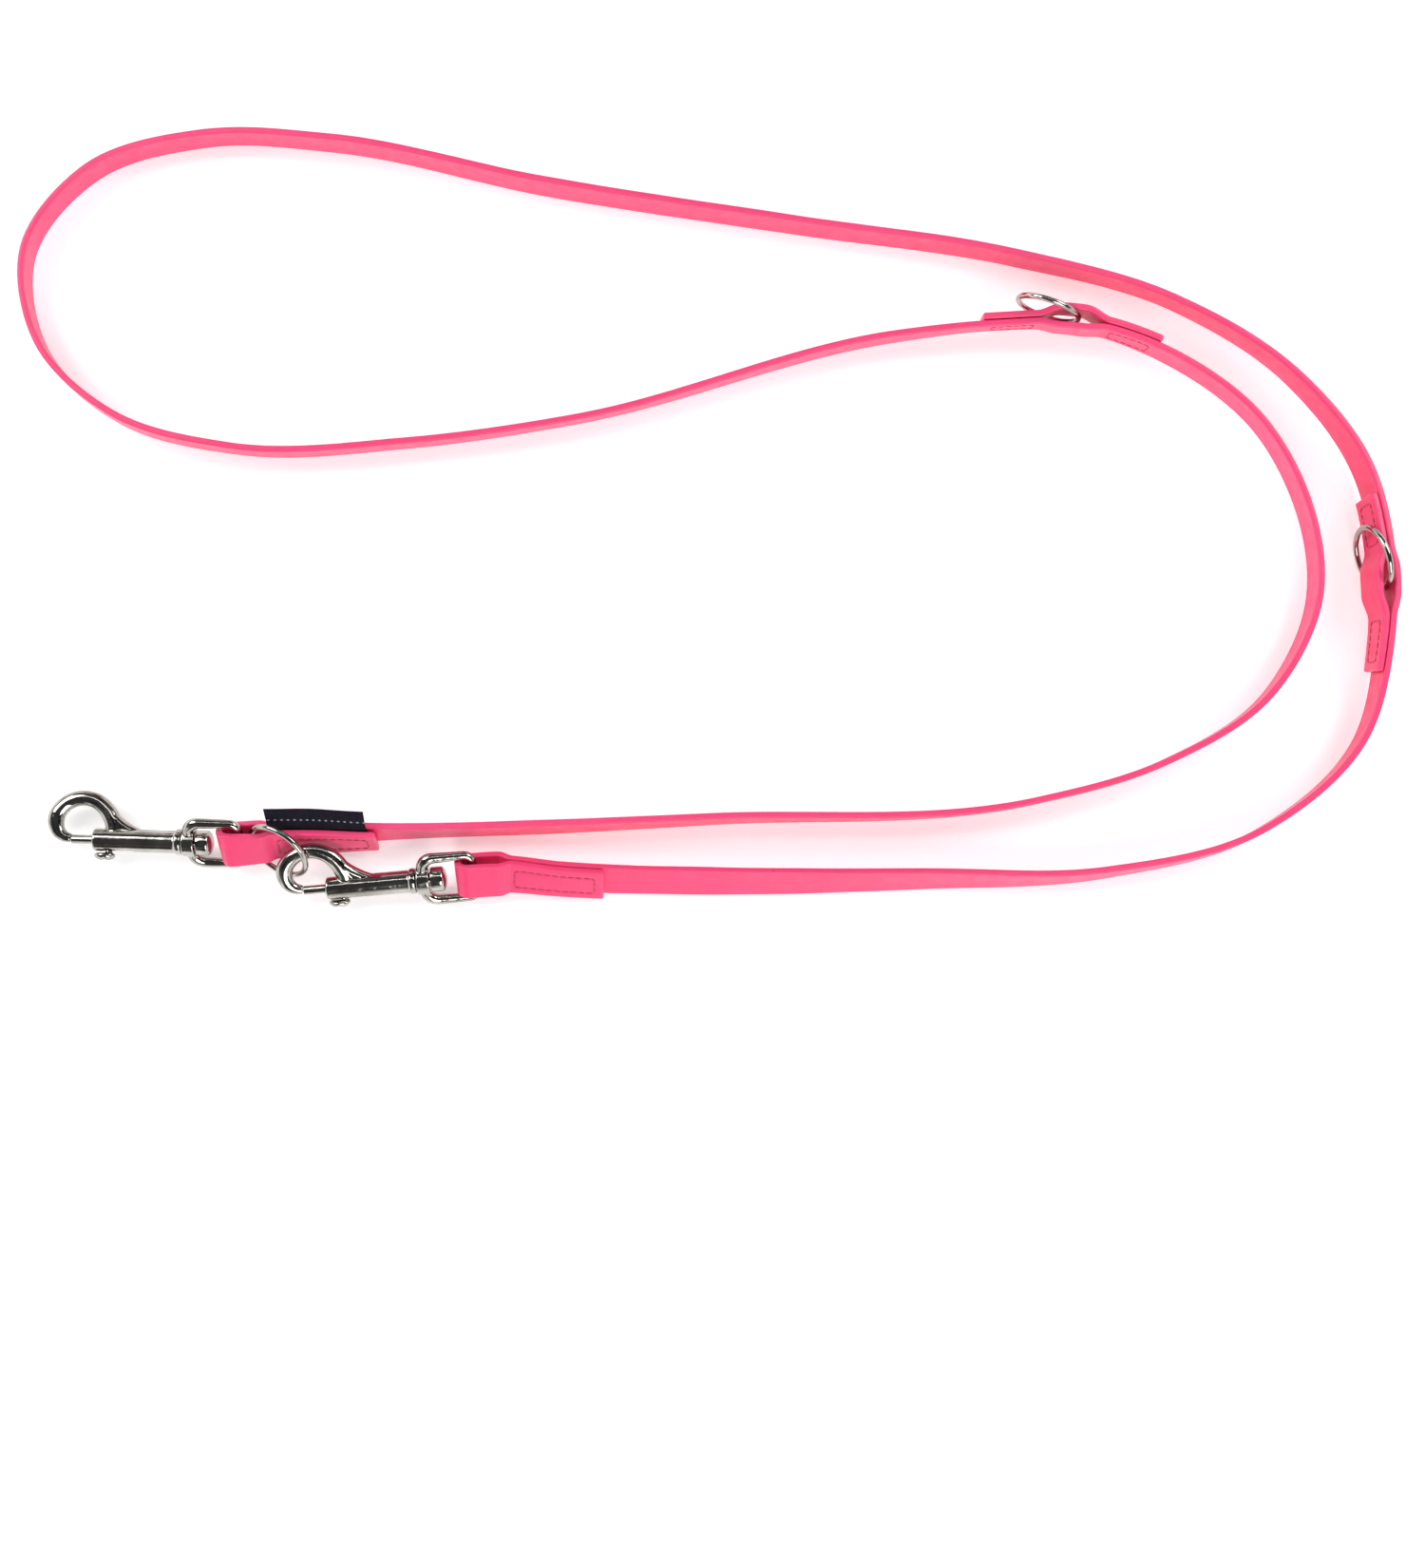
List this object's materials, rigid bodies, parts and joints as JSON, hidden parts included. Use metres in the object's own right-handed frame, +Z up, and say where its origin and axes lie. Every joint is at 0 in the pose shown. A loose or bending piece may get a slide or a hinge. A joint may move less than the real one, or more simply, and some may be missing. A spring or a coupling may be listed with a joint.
{
  "type": "adjustable training leash",
  "caption": "Pink coated-webbing training leash with swivel bolt snaps at both ends, welded rings held in sewn patches, one snap hooked back into its end ring.",
  "frame": {"origin": "centre of the bounding box's footprint, on the plane that the leash lies on", "axes": "+X along the longer side of the laid-out leash, away from the snaps; +Z up, across the strap, which stands on its edge"},
  "size_m": [0.463, 0.2641, 0.0233],
  "materials": {
    "coated_webbing": "satin",
    "thread": "matte",
    "woven_label": "matte",
    "nickel": "polished",
    "spring_steel": "satin"
  },
  "bodies": {
    "strap": {"main_strap": "coated_webbing", "ring_patch_middle": "coated_webbing", "ring_patch_side": "coated_webbing", "maker_label": "woven_label", "seam_first_fold": "thread", "seam_second_fold": "thread", "seam_middle_patch_1": "thread", "seam_middle_patch_2": "thread", "seam_side_patch_1": "thread", "seam_side_patch_2": "thread"},
    "snap_1_eye": {"snap_1_eye": "nickel"},
    "snap_1_body": {"snap_1_hook": "nickel", "snap_1_swivel_post": "nickel", "snap_1_bolt_spring": "spring_steel"},
    "snap_1_bolt": {"snap_1_gate_bolt": "nickel", "snap_1_thumb_knob": "nickel"},
    "snap_2_eye": {"snap_2_eye": "nickel"},
    "snap_2_body": {"snap_2_hook": "nickel", "snap_2_swivel_post": "nickel", "snap_2_bolt_spring": "spring_steel"},
    "snap_2_bolt": {"snap_2_gate_bolt": "nickel", "snap_2_thumb_knob": "nickel"},
    "ring_end": {"ring_end": "nickel"},
    "ring_middle": {"ring_middle": "nickel"},
    "ring_side": {"ring_side": "nickel"}
  },
  "joints": [
    {"name": "snap_1_eye_hinge", "type": "hinge", "parent": "strap", "child": "snap_1_eye", "pos_m": [-0.15281, -0.11114, 0.00878], "axis": [-0.0172, 0.6959, 0.7179], "range_deg": [-75, 75]},
    {"name": "snap_1_swivel", "type": "hinge", "parent": "snap_1_eye", "child": "snap_1_body", "pos_m": [-0.16958, -0.1106, 0.00785], "axis": [-0.998, 0.0319, -0.0549], "continuous": true},
    {"name": "snap_1_gate_slide", "type": "slide", "parent": "snap_1_body", "child": "snap_1_bolt", "axis": [-0.998, 0.0319, -0.0549], "range_m": [-0.007, 0], "stiffness_N_per_m": 400, "springref_m": 0.004, "deforming": ["snap_1_bolt_spring"]},
    {"name": "snap_2_eye_hinge", "type": "hinge", "parent": "strap", "child": "snap_2_eye", "pos_m": [-0.07541, -0.12158, 0.00796], "axis": [-0.0792, 0.7535, 0.6527], "range_deg": [-0.4, 0.2]},
    {"name": "snap_2_swivel", "type": "hinge", "parent": "snap_2_eye", "child": "snap_2_body", "pos_m": [-0.09214, -0.12302, 0.00759], "axis": [-0.9961, -0.0857, -0.0219], "range_deg": [-0.3, 1.5]},
    {"name": "snap_2_gate_slide", "type": "slide", "parent": "snap_2_body", "child": "snap_2_bolt", "axis": [-0.9961, -0.0857, -0.0219], "range_m": [-0.007, 0], "stiffness_N_per_m": 400, "springref_m": 0.004, "deforming": ["snap_2_bolt_spring"]},
    {"name": "ring_end_swing", "type": "hinge", "parent": "strap", "child": "ring_end", "pos_m": [-0.14713, -0.10911, 0.01126], "axis": [0, 0, 1], "range_deg": [-2, 0.2]},
    {"name": "ring_middle_swing", "type": "hinge", "parent": "strap", "child": "ring_middle", "pos_m": [0.12452, 0.06599, 0.01174], "axis": [0, 0, 1], "range_deg": [-16, 5]},
    {"name": "ring_side_swing", "type": "hinge", "parent": "strap", "child": "ring_side", "pos_m": [0.22617, -0.02433, 0.01165], "axis": [0, 0, 1], "range_deg": [-1.5, 24]}
  ]
}
